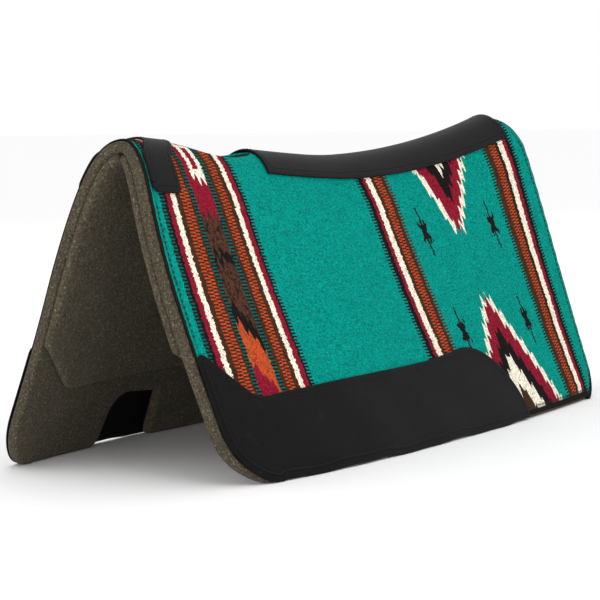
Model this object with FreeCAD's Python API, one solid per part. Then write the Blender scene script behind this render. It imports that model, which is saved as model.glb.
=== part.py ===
import FreeCAD, Part
import math
import os

# Western contoured saddle pad, standing on its lower edges like a tent.
# +X runs forward, towards the horse's head, +Y to the horse's left, +Z up.
# The origin is on the floor, midway along the pad, under the spine.
# Every layer is drawn on one skin: a point of it is found by its place along the pad (x),
# its drop (the distance down from the spine, measured along the skin) and its lift
# (how far outside the outer face of the base felt it lies).

# Overall shape, mm
overall_length = 805.0
spine_height_low = 298.0         # outer face of the base felt at the lowest place of the spine
spine_rise_front = 37.5          # how much higher the spine is at the front end
spine_rise_rear = 45.0
spine_low_x = -17.0              # where the spine is lowest
spine_dip_softness = 60.0        # larger turns more gently into the climb forward
spine_bend_rear = 2.0            # 1 is a straight climb, 2 is a parabola
leg_slope_front = 74.2           # degrees from level, on the upper part of the leg
leg_slope_middle = 66.2
leg_slope_rear = 73.0
flare_front = 8.5                # degrees that the leg turns outwards on its way down
flare_rear = 2.5
flare_drop = 400.0               # the drop over which the leg turns so far
ridge_softness = 22.5            # larger is a rounder ridge

# Layers, mm
base_thickness = 12.0
liner_thickness = 10.0
blanket_thickness = 3.0
leather_thickness = 2.6
thread_radius = 0.6
layer_gap = 0.3                  # between each layer and the next
ridge_gap = 0.8                  # more room under the leathers that bend over the spine

# Outline, mm
front_setback = 28.0             # how far the front edge is set back at the spine
front_setback_drop = 175.0       # the drop at which it has come fully forward
rear_setback = 35.0
rear_setback_drop = 65.0
rear_taper = 24.0                # how far the rear edge runs forward at the foot
foot_drop = 372.0                # the drop that the rear taper is counted over
front_foot_radius = 58.0
rear_foot_radius = 44.0
blanket_inset = 4.0              # blanket edge inside the felt edge
leather_inset = 2.5
floor_gap = 1.5                  # blanket and leather stop this far above the floor
floor_overcut = 4.0              # how far the base felt runs on before it is cut level
cutter_reach = 700.0             # longer than anything that a cutter goes through

# Wither cut-out through the spine, mm
cutout_x = 218.0
cutout_length = 130.0
cutout_half_width = 17.0

# Notch for the girth strap in each foot, mm
notch_front_x = 220.0
notch_rear_x = 134.0
notch_flare = 16.0               # how much further back its rear side meets the floor
notch_rise = 65.1                # from the floor up the leg to its top edge, at its rear side
notch_front_radius = 24.0
notch_rear_radius = 8.0

# Wear leather on each side, mm
wear_front_rise = 143.5          # up the leg from the floor to where its top edge meets the front edge
wear_knee_x = 336.0
wear_knee_rise = 84.4
wear_rear_x = -156.0
wear_rear_rise = 96.7
wear_knee_radius = 34.0
wear_rear_radius = 88.0
liner_gap = 8.0                  # between the liner's edge and the seam line of the leather

# Leathers over the spine, mm
spine_strip_front_x = 165.0
spine_strip_notch = 9.0          # how far the front end is hollowed to clear the cut-out
spine_strip_half_width = 41.0    # measured over the skin
spine_strip_rear_gap = 3.0       # to the rear edge at the spine
wither_strap_width = 47.0
wither_strap_inset = 7.0         # from the front edge, low on the side
wither_strap_crest_setback = 22.0  # how much further back it lies at the spine
wither_strap_crest_drop = 35.0   # the drop over which it comes forward again
wither_strap_drop = 72.0
wither_strap_radius = 9.0

# Fold along the spine
fold_height = 318.0
fold_open = 50.0                 # degrees that the fold opens
fold_close = 25.0                # degrees that it closes
fold_clearance = 1.1             # between the halves, on each side of the middle

# Stitching, mm
stitch_pitch = 10.0
stitch_length = 8.0
leather_stitch_inset = 6.0
perimeter_stitch_inset = 12.0
liner_stitch_inset = 8.0
seam_pitch = 14.0
seam_drop = 40.0                 # where the seam's stitches enter the liner, each side

leg_tilt = math.radians(24.0)    # the leg's lean from upright, for cuts made square to it
skin_stations = 11
leg_rows = 14
row_growth = 1.17
crossing_rows = 10
sewing_tolerance = 0.001
half_length = overall_length / 2
leather_bottom = blanket_thickness + layer_gap
leather_top = leather_bottom + leather_thickness
crossing_thread_lift = leather_top + ridge_gap + 2 * layer_gap + thread_radius
felt_total = base_thickness + liner_thickness
out_of_leg = FreeCAD.Vector(0, math.cos(leg_tilt), math.sin(leg_tilt))
middle_plane = (FreeCAD.Vector(0, 0, 0), FreeCAD.Vector(0, 1, 0))


def spine_height(x):
    ahead = x - spine_low_x
    if ahead > 0:
        climb = dip_climb(ahead) / dip_climb(half_length - spine_low_x)
        return spine_height_low + spine_rise_front * climb
    return spine_height_low + spine_rise_rear * (-ahead / (half_length + spine_low_x)) ** spine_bend_rear


def dip_climb(ahead):
    return math.hypot(ahead, spine_dip_softness) - spine_dip_softness


def leg_angle(x, drop):
    along = x / half_length
    even = (leg_slope_front + leg_slope_rear) / 2 - leg_slope_middle
    odd = (leg_slope_front - leg_slope_rear) / 2
    slope = leg_slope_middle + odd * along + even * along ** 2
    flare = (flare_front + flare_rear) / 2 + (flare_front - flare_rear) / 2 * along
    return math.radians(slope * (1 - math.exp(-drop / ridge_softness)) - flare * drop / flare_drop)


def skin_point(x, drop, lift):
    """A point of the left half. A negative drop gives its mirror image on the right half."""
    steps = 48
    step = abs(drop) / steps
    y = 0.0
    z = spine_height(x)
    for count in range(steps):
        angle = leg_angle(x, (count + 0.5) * step)
        y += math.cos(angle) * step
        z -= math.sin(angle) * step
    angle = leg_angle(x, abs(drop))
    y += lift * math.sin(angle)
    z += lift * math.cos(angle)
    return FreeCAD.Vector(x, math.copysign(y, drop), z)


def front_edge(drop):
    short = max(0.0, 1 - abs(drop) / front_setback_drop)
    return half_length - front_setback * short ** 2


def rear_edge(drop):
    short = max(0.0, 1 - abs(drop) / rear_setback_drop)
    return -half_length + rear_setback * short ** 2 + rear_taper * (drop / foot_drop) ** 2


def drop_where(reached, low, high):
    """The smallest drop between low and high at which reached(drop) holds."""
    for count in range(24):
        middle = (low + high) / 2
        if reached(middle):
            high = middle
        else:
            low = middle
    return high


def floor_drop(x, lift=0.0, height=0.0):
    """The drop at which a face of this lift comes down to this height."""
    return drop_where(lambda drop: skin_point(x, drop, lift).z < height, 100.0, 600.0)


def drop_above(x, rise):
    """The drop of the place this far up the leg from the floor."""
    return floor_drop(x) - rise


def fold_drop(x, lift):
    """The drop at which the left half starts, outside the room that the fold needs."""

    def clear(drop):
        point = skin_point(x, drop, lift)
        rise = point.z - fold_height
        swing = fold_open if rise > 0 else fold_close
        return point.y > fold_clearance + abs(rise) * math.tan(math.radians(swing / 2))

    return drop_where(clear, 0.1, 120.0)


def skin_surface(place, lift, columns):
    """A smooth face through skin points. place(along, down, lift) gives each x and drop."""
    grid = []
    for station in range(skin_stations):
        along = station / (skin_stations - 1)
        row = []
        for down in columns:
            x, drop = place(along, down, lift)
            row.append(skin_point(x, drop, lift))
        grid.append(row)
    surface = Part.BSplineSurface()
    surface.interpolate(grid)
    return surface.toShape()


def layer(place, inner_lift, outer_lift, columns):
    """A closed sheet between two lifts."""
    inner = skin_surface(place, inner_lift, columns)
    outer = skin_surface(place, outer_lift, columns)
    sides = Part.makeLoft([inner.OuterWire, outer.OuterWire], False, True)
    skin = Part.makeCompound([inner, outer] + sides.Faces)
    skin.sewShape(sewing_tolerance)
    sheet = Part.makeSolid(skin.Shells[0])
    if sheet.Volume < 0:
        sheet.reverse()
    return sheet


def growing_shares(count, growth):
    """Shares from 0 to 1, close together at first, each gap longer by the growth."""
    return [(growth ** index - 1) / (growth ** count - 1) for index in range(count + 1)]


def cut_place(x, drop):
    """A skin point seen square to the leg: x, and the distance down the leg."""
    point = skin_point(x, drop, 0)
    return FreeCAD.Vector(x, point.y * math.sin(leg_tilt) - point.z * math.cos(leg_tilt), 0)


def rounded_wire(corners):
    """A closed outline with arcs at its corners, from (place, radius) pairs."""
    edges = []
    starts = []
    ends = []
    for index, (corner, radius) in enumerate(corners):
        before = (corners[index - 1][0] - corner).normalize()
        after = (corners[(index + 1) % len(corners)][0] - corner).normalize()
        half_angle = before.getAngle(after) / 2
        reach = radius / math.tan(half_angle)
        middle = (before + after).normalize()
        centre = corner + middle * (radius / math.sin(half_angle))
        starts.append(corner + before * reach)
        ends.append(corner + after * reach)
        edges.append(Part.Arc(starts[-1], centre - middle * radius, ends[-1]).toShape())
    lines = []
    for index in range(len(corners)):
        lines.append(Part.LineSegment(ends[index], starts[(index + 1) % len(corners)]).toShape())
    ordered = []
    for arc, line in zip(edges, lines):
        ordered += [arc, line]
    return Part.Wire(ordered)


def leg_prism(wire):
    """A cutter with this outline, running square through the left leg."""
    face = Part.Face(wire)
    placement = FreeCAD.Matrix()
    placement.A11 = 1
    placement.A22 = math.sin(leg_tilt)
    placement.A32 = -math.cos(leg_tilt)
    placement.A23 = math.cos(leg_tilt)
    placement.A33 = math.sin(leg_tilt)
    placement.A21 = 0
    placed = face.transformGeometry(placement)
    return placed.extrude(out_of_leg * cutter_reach)


def foot_corner_cutter(inset):
    """What is taken off the left foot at the front and the rear, to round its corners."""
    front = half_length - inset
    front_low = cut_place(front, floor_drop(front))
    radius = front_foot_radius
    side = front_low + FreeCAD.Vector(0, -radius, 0)
    under = front_low + FreeCAD.Vector(-radius, 0, 0)
    middle = front_low + FreeCAD.Vector(-diagonal_of(radius), -diagonal_of(radius), 0)
    front_cut = corner_wire(side, middle, under, 60)
    radius = rear_foot_radius
    rear_low_drop = floor_drop(-half_length + rear_taper)
    rear_side_drop = rear_low_drop - radius
    side = cut_place(rear_edge(rear_side_drop) + inset, rear_side_drop)
    low = cut_place(rear_edge(rear_low_drop) + inset, rear_low_drop)
    under = low + FreeCAD.Vector(radius, 0, 0)
    middle = low + FreeCAD.Vector(diagonal_of(radius), -diagonal_of(radius), 0)
    rear_cut = corner_wire(side, middle, under, -60)
    return [leg_prism(front_cut), leg_prism(rear_cut)]


def diagonal_of(radius):
    return radius * (1 - math.sqrt(0.5))


def corner_wire(side, middle, under, reach):
    beyond = 60.0
    corners = [
        under,
        under + FreeCAD.Vector(0, beyond, 0),
        FreeCAD.Vector(side.x + reach, under.y + beyond, 0),
        FreeCAD.Vector(side.x + reach, side.y, 0),
        side,
    ]
    edges = [Part.LineSegment(a, b).toShape() for a, b in zip(corners, corners[1:])]
    edges.append(Part.Arc(side, middle, under).toShape())
    return Part.Wire(edges)


def wear_outline(shift):
    """The wear leather's outline seen square to the leg. A positive shift widens it."""
    front = half_length - leather_inset
    corners = [
        (cut_place(front, drop_above(front, wear_front_rise)), 6.0),
        (cut_place(wear_knee_x, drop_above(wear_knee_x, wear_knee_rise)), wear_knee_radius),
        (cut_place(wear_rear_x, drop_above(wear_rear_x, wear_rear_rise)), wear_rear_radius),
        (cut_place(wear_rear_x, floor_drop(wear_rear_x)), 3.0),
        (cut_place(front, floor_drop(front)), front_foot_radius),
    ]
    wire = rounded_wire(corners)
    if shift:
        wire = wire.makeOffset2D(shift)
    return wire


def wear_cutter(shift):
    """The wear leather's outline, carried on past the floor."""
    front = half_length - leather_inset
    outline = leg_prism(wear_outline(shift))
    low = cut_place(front, floor_drop(front)).y
    below = [
        FreeCAD.Vector(wear_rear_x - shift, low - 30, 0),
        FreeCAD.Vector(front - front_foot_radius, low - 30, 0),
        FreeCAD.Vector(front - front_foot_radius, low + 60, 0),
        FreeCAD.Vector(wear_rear_x - shift, low + 60, 0),
    ]
    return outline.fuse(leg_prism(Part.makePolygon(below + below[:1])))


def notch_cutter():
    top_drop = drop_above(notch_rear_x, notch_rise)
    top_front = cut_place(notch_front_x, top_drop)
    top_rear = cut_place(notch_rear_x, top_drop)
    past_floor = 3
    front_side = FreeCAD.Vector(0, notch_rise, 0) * past_floor
    rear_side = FreeCAD.Vector(-notch_flare, notch_rise, 0) * past_floor
    corners = [
        (top_front, notch_front_radius),
        (top_rear, notch_rear_radius),
        (top_rear + rear_side, notch_rear_radius),
        (top_front + front_side, notch_rear_radius),
    ]
    return leg_prism(rounded_wire(corners))


def cutout_cutter():
    ellipse = Part.Ellipse(FreeCAD.Vector(cutout_x, 0, 0), cutout_length / 2, cutout_half_width)
    face = Part.Face(Part.Wire([ellipse.toShape()]))
    return face.extrude(FreeCAD.Vector(0, 0, cutter_reach))


def half_layer(inner_lift, outer_lift, inset, floor_height):
    """One layer of the left half, with its edges, foot corners and cut-out."""

    def place(along, down, lift):
        x = -half_length + overall_length * along
        for count in range(3):
            start = fold_drop(x, lift)
            drop = start + (floor_drop(x, lift, floor_height) - start) * down
            rear = rear_edge(drop) + inset
            x = rear + along * (front_edge(drop) - inset - rear)
        return x, drop

    sheet = layer(place, inner_lift, outer_lift, growing_shares(leg_rows, row_growth))
    return largest(sheet.cut(foot_corner_cutter(inset) + [cutout_cutter()]))


def largest(shape):
    return max(shape.Solids, key=lambda solid: solid.Volume)


def felt_base():
    """The base felt stands on the floor, so its lower edge is cut level."""
    sheet = half_layer(-base_thickness, 0, 0, -floor_overcut)
    corner = FreeCAD.Vector(-overall_length, -cutter_reach, -cutter_reach)
    under = Part.makeBox(overall_length * 2, cutter_reach * 2, cutter_reach, corner)
    return largest(sheet.cut([notch_cutter(), under]))


def felt_liner():
    sheet = half_layer(-felt_total, -base_thickness - layer_gap, 0, 0)
    return largest(sheet.cut(wear_cutter(liner_gap)))


def blanket():
    return largest(half_layer(layer_gap, blanket_thickness, blanket_inset, floor_gap).cut(notch_cutter()))


def wear_leather():
    sheet = half_layer(leather_bottom, leather_top, leather_inset, floor_gap)
    return largest(sheet.common(wear_cutter(0)))


def crossing_layer(rear, front, reach):
    """A piece of leather that lies over the spine, reaching as far down each side."""

    def place(along, down, lift):
        drop = reach * down
        return rear(drop) + along * (front(drop) - rear(drop)), drop

    side = growing_shares(crossing_rows, row_growth)[1:]
    columns = [-share for share in reversed(side)] + [0.0] + side
    return layer(place, leather_bottom + ridge_gap, leather_top + ridge_gap, columns)


def spine_leather():

    def rear(drop):
        return rear_edge(0) + spine_strip_rear_gap

    def front(drop):
        return spine_strip_front_x - spine_strip_notch * math.cos(drop / spine_strip_half_width * math.pi / 2)

    return crossing_layer(rear, front, spine_strip_half_width)


def wither_leather():
    low = wither_strap_drop
    strap = crossing_layer(wither_strap_rear, wither_strap_front, low)
    rear_corner = strap_corner_cutter(wither_strap_rear(low), 1)
    cutters = [rear_corner, strap_corner_cutter(wither_strap_front(low), -1)]
    cutters += [cutter.mirror(*middle_plane) for cutter in cutters]
    return largest(strap.cut(cutters))


def wither_strap_front(drop):
    crest = max(0.0, 1 - (drop / wither_strap_crest_drop) ** 2) ** 2
    return front_edge(drop) - wither_strap_inset - wither_strap_crest_setback * crest


def wither_strap_rear(drop):
    return wither_strap_front(drop) - wither_strap_width


def strap_corner_cutter(x, inwards):
    """Rounds one lower corner of the wither strap."""
    low = cut_place(x, wither_strap_drop)
    radius = wither_strap_radius
    side = low + FreeCAD.Vector(0, -radius, 0)
    under = low + FreeCAD.Vector(radius * inwards, 0, 0)
    middle = low + FreeCAD.Vector(diagonal_of(radius) * inwards, -diagonal_of(radius), 0)
    return leg_prism(corner_wire(side, middle, under, -inwards * 20))


def drop_of(place):
    """The drop of the skin point that lies at this place, seen square to the leg."""
    low = 1.0
    high = 500.0
    for count in range(26):
        middle = (low + high) / 2
        if cut_place(place.x, middle).y < place.y:
            low = middle
        else:
            high = middle
    return low


def stitch(start, end):
    """One straight stitch of thread that starts at start and runs towards end."""
    direction = end - start
    length = min(stitch_length, direction.Length)
    return Part.makeCylinder(thread_radius, length, start, direction)


def stitches_along(path, lift):
    """A stitch from each (x, drop) place of the path towards the next."""
    points = [skin_point(x, drop, lift) for x, drop in path]
    return [stitch(a, b) for a, b in zip(points, points[1:])]


def spaced_path(places, pitch):
    """Places a pitch apart along a run of (x, drop) places."""
    line = Part.makePolygon([FreeCAD.Vector(x, drop, 0) for x, drop in places])
    count = max(2, round(line.Length / pitch) + 1)
    return [(point.x, point.y) for point in line.discretize(Number=count)]


def wear_stitching():
    row = wear_outline(-leather_stitch_inset).discretize(Distance=stitch_pitch)
    path = [(place.x, drop_of(place)) for place in row]
    return stitches_along(path, leather_top + layer_gap + thread_radius)


def perimeter_stitching():
    """The row that holds the blanket's edge to the felt, where no leather covers it."""
    inset = perimeter_stitch_inset
    above = wither_strap_drop + 5
    below = drop_above(half_length, wear_front_rise) - 5
    front_run = [(front_edge(drop) - inset, drop) for drop in spread(above, below, 12)]
    radius = rear_foot_radius - inset
    low = floor_drop(-half_length + rear_taper) - inset
    below_strip = spine_strip_half_width + leather_stitch_inset
    rear_run = [(rear_edge(drop) + inset, drop) for drop in spread(below_strip, low - radius, 20)]
    corner_x = rear_edge(low - radius) + inset + radius
    for angle in spread(15, 90, 6):
        turn = math.radians(angle)
        rear_run.append((corner_x - radius * math.cos(turn), low - radius + radius * math.sin(turn)))
    for x in spread(corner_x + 10, wear_rear_x - 8, 8):
        rear_run.append((x, floor_drop(x) - inset))
    lift = blanket_thickness + layer_gap + thread_radius
    rows = []
    for run in (front_run, rear_run):
        rows += stitches_along(spaced_path(run, stitch_pitch), lift)
    return rows


def liner_stitching():
    """The row along the liner's lower edge, on the side that faces the horse."""
    row = wear_outline(liner_gap + liner_stitch_inset).discretize(Distance=stitch_pitch)
    margin = 10.0
    inner_row = []
    for place in row:
        drop = drop_of(place)
        inside = rear_edge(drop) + margin < place.x < front_edge(drop) - margin
        if inside and drop < floor_drop(place.x) - margin and not wear_covers(place):
            inner_row.append((place.x, drop))
    stitches = stitches_along(inner_row, -felt_total - 2 * layer_gap - thread_radius)
    return [piece for piece, (a, b) in zip(stitches, zip(inner_row, inner_row[1:])) if near(a, b)]


def wear_covers(place):
    return place.x > wear_rear_x and place.y > cut_place(wear_rear_x, drop_above(wear_rear_x, 45)).y


def near(a, b):
    return math.dist(a, b) < 2 * stitch_pitch


def spine_leather_stitching():
    inset = leather_stitch_inset
    edge = spine_strip_half_width - inset
    rear = rear_edge(0) + spine_strip_rear_gap + inset
    front = spine_strip_front_x - inset
    lift = crossing_thread_lift
    rows = []
    for side in (-1, 1):
        run = [(rear, side * edge), (front - 2, side * edge)]
        rows += stitches_along(spaced_path(run, stitch_pitch), lift)
    ends = [(rear, drop) for drop in spread(-edge + 4, edge - 4, 9)]
    rows += stitches_along(ends, lift)
    hollow = []
    for drop in spread(-edge + 4, edge - 4, 9):
        back = spine_strip_notch * math.cos(drop / spine_strip_half_width * math.pi / 2)
        hollow.append((front - back, drop))
    rows += stitches_along(hollow, lift)
    return rows


def wither_leather_stitching():
    inset = leather_stitch_inset
    low = wither_strap_drop - inset
    margin = 4.0
    rear = wither_strap_rear(low) + inset + margin
    front = wither_strap_front(low) - inset - margin
    rows = []
    for side in (-1, 1):
        rear_run = [(wither_strap_rear(drop) + inset, side * drop) for drop in spread(margin, low, 12)]
        low_run = [(rear, side * low), (front, side * low)]
        front_run = [(wither_strap_front(drop) - inset, side * drop) for drop in spread(margin, low, 12)]
        for run in (rear_run, low_run, front_run):
            rows += stitches_along(spaced_path(run, stitch_pitch), crossing_thread_lift)
    return rows


def spine_seam():
    """Whip stitches across the spine on the horse's side, which hold the halves together."""
    start = rear_edge(0) + 12
    front_stop = cutout_x - cutout_length / 2 - 12
    stitches = []
    x = start
    while x + seam_pitch / 2 < front_edge(0) - 10:
        if x < front_stop or x > cutout_x + cutout_length / 2 + 8:
            left = skin_point(x, seam_drop, -felt_total - 2 * thread_radius)
            right = skin_point(x + seam_pitch / 2, -seam_drop, -felt_total - 2 * thread_radius)
            stitches.append(Part.makeCylinder(thread_radius, (right - left).Length, left, right - left))
        x += seam_pitch
    return stitches


def spread(first, last, count):
    return [first + (last - first) * index / (count - 1) for index in range(count)]


def write_node(name, shape):
    shape.exportStep("parts/" + name + ".step")
    print(name, "solids", len(shape.Solids), "volume cm3", round(shape.Volume / 1000, 1), shape.isValid())


def write_both_sides(name, shape):
    write_node(name + "_left", shape)
    write_node(name + "_right", shape.mirror(*middle_plane))


os.makedirs("parts", exist_ok=True)
write_both_sides("felt_base", felt_base())
write_both_sides("felt_liner", felt_liner())
write_both_sides("blanket", blanket())
write_both_sides("wear_leather", wear_leather())
write_both_sides("wear_leather_stitching", Part.makeCompound(wear_stitching()))
write_both_sides("perimeter_stitching", Part.makeCompound(perimeter_stitching()))
write_both_sides("liner_stitching", Part.makeCompound(liner_stitching()))
write_node("spine_leather", spine_leather())
write_node("wither_leather", wither_leather())
write_node("spine_leather_stitching", Part.makeCompound(spine_leather_stitching()))
write_node("wither_leather_stitching", Part.makeCompound(wither_leather_stitching()))
write_node("spine_seam_thread", Part.makeCompound(spine_seam()))
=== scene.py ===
import math

import bpy
import numpy as np
from mathutils import Matrix, Vector
from mathutils.geometry import delaunay_2d_cdt


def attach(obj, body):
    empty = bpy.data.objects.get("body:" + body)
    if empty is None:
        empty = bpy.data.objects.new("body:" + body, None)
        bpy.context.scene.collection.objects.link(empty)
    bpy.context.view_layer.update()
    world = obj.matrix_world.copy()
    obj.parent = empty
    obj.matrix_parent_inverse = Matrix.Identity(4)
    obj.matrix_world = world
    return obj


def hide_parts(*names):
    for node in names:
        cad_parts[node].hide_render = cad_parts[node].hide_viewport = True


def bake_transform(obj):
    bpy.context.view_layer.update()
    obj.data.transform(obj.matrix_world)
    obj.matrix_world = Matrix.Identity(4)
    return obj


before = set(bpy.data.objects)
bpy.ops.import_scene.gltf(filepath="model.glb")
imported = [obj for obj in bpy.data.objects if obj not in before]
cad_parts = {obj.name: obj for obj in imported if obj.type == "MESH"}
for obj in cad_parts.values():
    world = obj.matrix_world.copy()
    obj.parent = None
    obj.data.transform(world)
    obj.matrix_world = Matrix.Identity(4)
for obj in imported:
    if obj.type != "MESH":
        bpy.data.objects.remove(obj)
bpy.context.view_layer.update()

# The pad's shape.
# Every layer follows one skin: x runs along the spine, drop is the way down from it
# over the skin (left is plus, right is minus), lift is how far off the base felt it is.

padShape = {
    "halfLength": 0.4025,
    "spineLow": 0.298,
    "riseFront": 0.0375,
    "riseRear": 0.045,
    "lowX": -0.017,
    "dipSoftness": 0.060,
    "bendRear": 2.0,
    "slopeFront": 74.2,
    "slopeMiddle": 66.2,
    "slopeRear": 73.0,
    "flareFront": 8.5,
    "flareRear": 2.5,
    "flareDrop": 0.400,
    "ridgeSoftness": 0.0225,
    "frontSetback": 0.028,
    "frontSetbackDrop": 0.175,
    "rearSetback": 0.035,
    "rearSetbackDrop": 0.065,
    "rearTaper": 0.024,
    "footDrop": 0.372,
    "frontFootRadius": 0.058,
    "rearFootRadius": 0.044,
    "legTilt": math.radians(24),
}
half = padShape["halfLength"]


def spineHeight(x):
    ahead = x - padShape["lowX"]
    soft = padShape["dipSoftness"]
    fullClimb = math.hypot(half - padShape["lowX"], soft) - soft
    front = (np.hypot(np.clip(ahead, 0, None), soft) - soft) / fullClimb
    rear = np.clip(-ahead, 0, None) / (half + padShape["lowX"])
    climb = padShape["riseFront"] * front
    return padShape["spineLow"] + climb + padShape["riseRear"] * rear ** padShape["bendRear"]


def legAngle(x, drop):
    along = x / half
    even = (padShape["slopeFront"] + padShape["slopeRear"]) / 2 - padShape["slopeMiddle"]
    odd = (padShape["slopeFront"] - padShape["slopeRear"]) / 2
    slope = padShape["slopeMiddle"] + odd * along + even * along ** 2
    flareMean = (padShape["flareFront"] + padShape["flareRear"]) / 2
    flare = flareMean + (padShape["flareFront"] - padShape["flareRear"]) / 2 * along
    turned = slope * (1 - np.exp(-drop / padShape["ridgeSoftness"])) - flare * drop / padShape["flareDrop"]
    return np.radians(turned)


def skin(x, drop, lift):
    x, drop, lift = np.broadcast_arrays(*(np.asarray(value, float) for value in (x, drop, lift)))
    down = np.abs(drop)
    step = down / 48
    y = np.zeros_like(down)
    z = spineHeight(x)
    for count in range(48):
        angle = legAngle(x, step * (count + 0.5))
        y = y + np.cos(angle) * step
        z = z - np.sin(angle) * step
    angle = legAngle(x, down)
    y = np.maximum(y + lift * np.sin(angle), 0)
    z = z + lift * np.cos(angle)
    return np.stack([x, np.where(drop < 0, -y, y), z], axis=-1)


def solveDrop(measure, low=0.0, high=0.6):
    low = np.full_like(measure(0.1), low)
    high = np.full_like(low, high)
    for count in range(26):
        middle = (low + high) / 2
        past = measure(middle) > 0
        high = np.where(past, middle, high)
        low = np.where(past, low, middle)
    return high


def floorDrop(x, lift=0.0, height=0.0):
    x = np.atleast_1d(np.asarray(x, float))
    return solveDrop(lambda drop: height - skin(x, drop, lift)[..., 2], 0.1)


def acrossLeg(x, drop):
    point = skin(x, drop, 0.0)
    return point[..., 1] * math.sin(padShape["legTilt"]) - point[..., 2] * math.cos(padShape["legTilt"])


def dropAcross(x, across):
    x = np.asarray(x, float)
    return solveDrop(lambda drop: acrossLeg(x, drop) - across)


def frontEdge(drop):
    short = np.clip(1 - np.abs(drop) / padShape["frontSetbackDrop"], 0, None)
    return half - padShape["frontSetback"] * short ** 2


def rearEdge(drop):
    short = np.clip(1 - np.abs(drop) / padShape["rearSetbackDrop"], 0, None)
    taper = padShape["rearTaper"] * (drop / padShape["footDrop"]) ** 2
    return -half + padShape["rearSetback"] * short ** 2 + taper


# A level foot: the drop to the floor depends a little on the lift, so it is kept in a table.
tableX = np.linspace(-0.42, 0.42, 141)
tableOuter = floorDrop(tableX, 0.0)
tableInner = floorDrop(tableX, -0.022)


def levelled(x, drop, lift):
    outer = np.interp(x, tableX, tableOuter)
    slope = (np.interp(x, tableX, tableInner) - outer) / -0.022
    near = np.clip((np.abs(drop) - outer + 0.045) / 0.045, 0, 1)
    near = near * near * (3 - 2 * near)
    return drop + np.sign(drop) * near * slope * lift


def waviness(x, drop):
    # hand-felted wool is never quite flat: all layers share these shallow waves
    side = np.sign(drop) * 0.7
    waves = np.sin(17 * x + 9 * drop + side) + 0.7 * np.sin(31 * x - 23 * drop + 2.1 + side)
    waves = waves + 0.5 * np.sin(57 * x + 41 * drop + 4.0)
    return 0.00035 * waves * np.clip(np.abs(drop) / 0.06, 0, 1)


# Outlines.

def filleted(corners, spacing=0.0015):
    # corners are (x, across, radius); the ends stay as they are
    path = [np.array(corners[0][:2])]
    for before, here, after in zip(corners, corners[1:], corners[2:]):
        corner = np.array(here[:2])
        back = np.array(before[:2]) - corner
        ahead = np.array(after[:2]) - corner
        back = back / np.linalg.norm(back)
        ahead = ahead / np.linalg.norm(ahead)
        halfAngle = math.acos(float(np.clip(back @ ahead, -1, 1))) / 2
        reach = here[2] / math.tan(halfAngle)
        middle = (back + ahead) / np.linalg.norm(back + ahead)
        centre = corner + middle * here[2] / math.sin(halfAngle)
        start = corner + back * reach - centre
        end = corner + ahead * reach - centre
        first = math.atan2(start[1], start[0])
        turn = (math.atan2(end[1], end[0]) - first + math.pi) % (2 * math.pi) - math.pi
        count = max(4, int(abs(turn) * here[2] / spacing))
        for share in np.linspace(0, 1, count):
            angle = first + turn * share
            path.append(centre + here[2] * np.array([math.cos(angle), math.sin(angle)]))
    path.append(np.array(corners[-1][:2]))
    return np.array(path)


def resampled(path, spacing, closed=False):
    path = np.asarray(path, float)
    if closed:
        path = np.vstack([path, path[:1]])
    gaps = np.linalg.norm(np.diff(path, axis=0), axis=1)
    path = path[np.concatenate([[True], gaps > 1e-7])]
    run = np.concatenate([[0], np.cumsum(np.linalg.norm(np.diff(path, axis=0), axis=1))])
    count = max(3, int(round(run[-1] / spacing)))
    places = np.linspace(0, run[-1], count + 1)
    if closed:
        places = places[:-1]
    return np.stack([np.interp(places, run, path[:, 0]), np.interp(places, run, path[:, 1])], axis=1)


def onLeg(path):
    # from the plane square to the leg to (x, drop)
    return np.stack([path[:, 0], dropAcross(path[:, 0], path[:, 1])], axis=1)


girthNotch = {
    "frontX": 0.220,
    "rearX": 0.134,
    "flare": 0.016,
    "drop": 0.2955,
    "frontRadius": 0.024,
    "rearRadius": 0.008,
    "footRadius": 0.012,
}


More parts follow.
